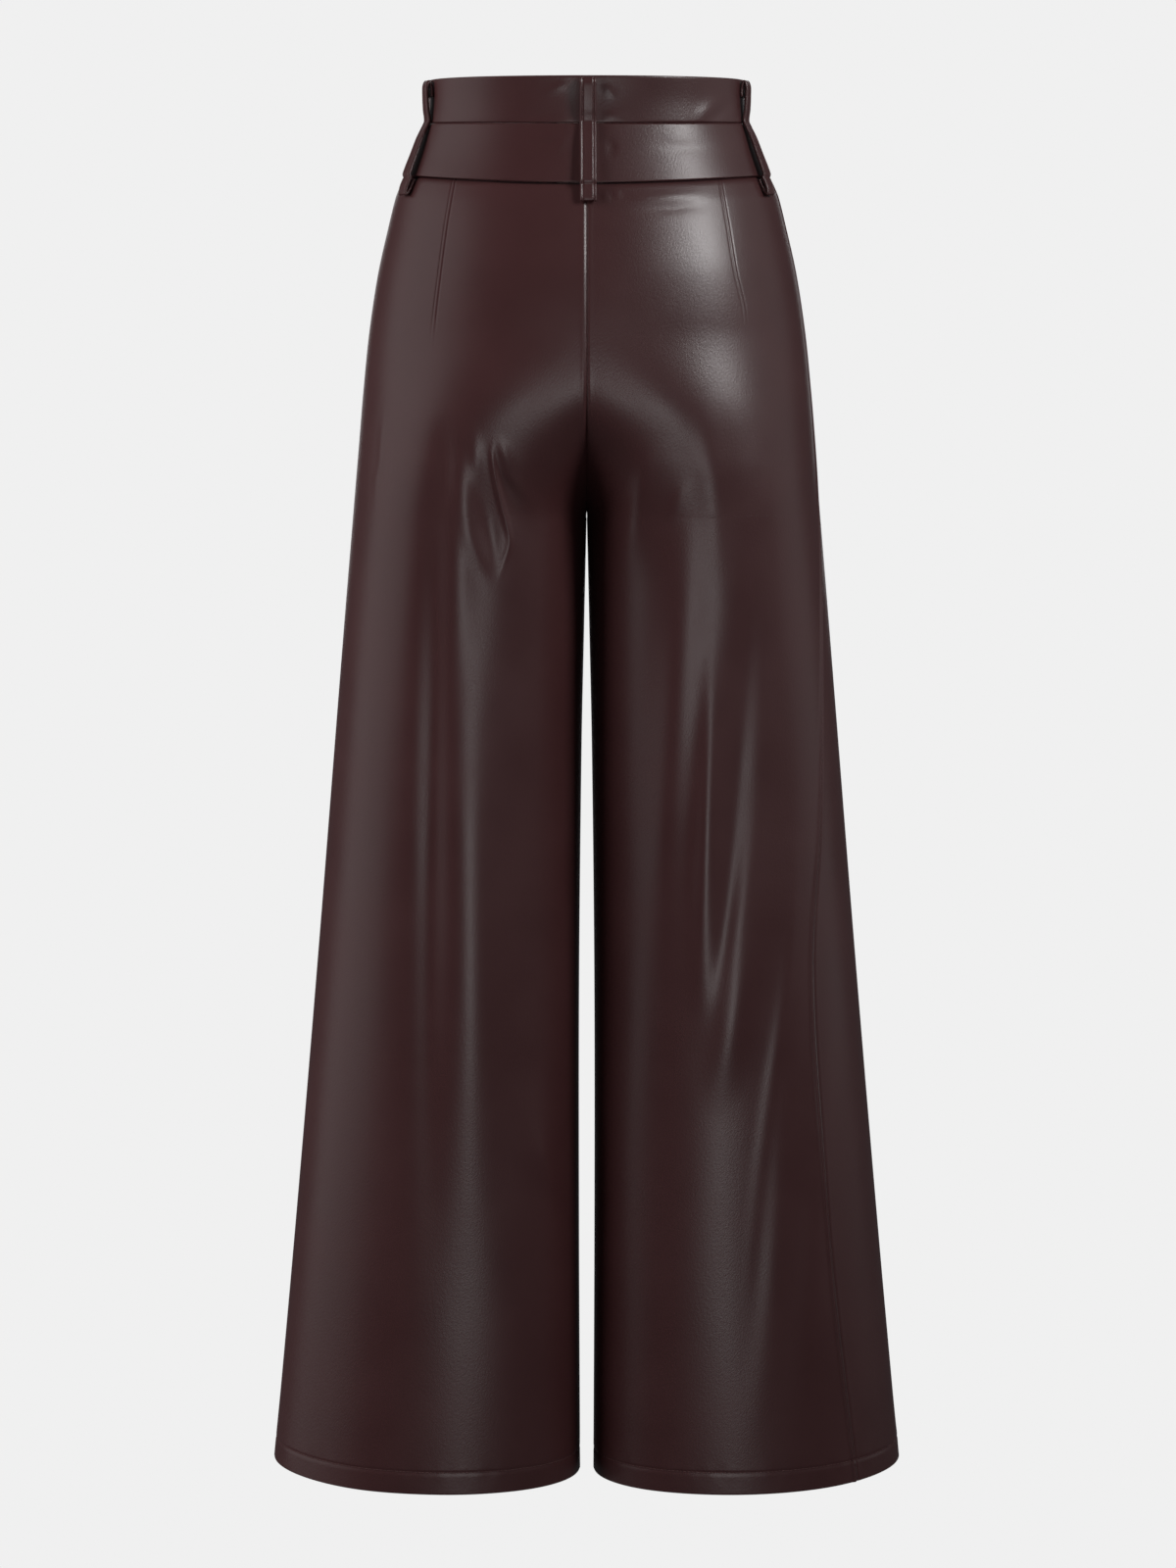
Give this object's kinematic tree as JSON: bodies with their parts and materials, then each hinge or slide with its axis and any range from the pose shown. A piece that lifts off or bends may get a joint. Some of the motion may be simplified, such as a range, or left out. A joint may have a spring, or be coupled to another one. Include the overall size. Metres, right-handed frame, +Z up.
{
  "type": "faux leather trousers",
  "caption": "High-waisted wide-leg trousers in faux leather, hollow as worn, with a two-tier waistband and belt loops.",
  "frame": {"origin": "centre of the waist, 3 mm below the seam between the two waistband tiers, where the wearer holds the trousers", "axes": "+Z up towards the waistband's top edge, +X towards the wearer's left, the front faces -Y"},
  "size_m": [0.487, 0.2261, 1.0635],
  "materials": {
    "leather": "semi-gloss faux leather, dark burgundy brown, fine pebble grain",
    "backing": "matt knitted backing"
  },
  "bodies": {
    "root": {"back_panel_left": "leather", "back_panel_right": "leather", "front_panel_left": "leather", "front_panel_right": "leather", "upper_band_back": "leather", "upper_band_front_left": "leather", "upper_band_front_right": "leather", "lower_band_back": "leather", "lower_band_front_left": "leather", "lower_band_front_right": "leather", "loop_centre_back": "leather", "loop_side_left": "leather", "loop_side_right": "leather", "loop_front_left": "leather", "loop_front_right": "leather", "fly_shield": "backing"}
  },
  "joints": []
}
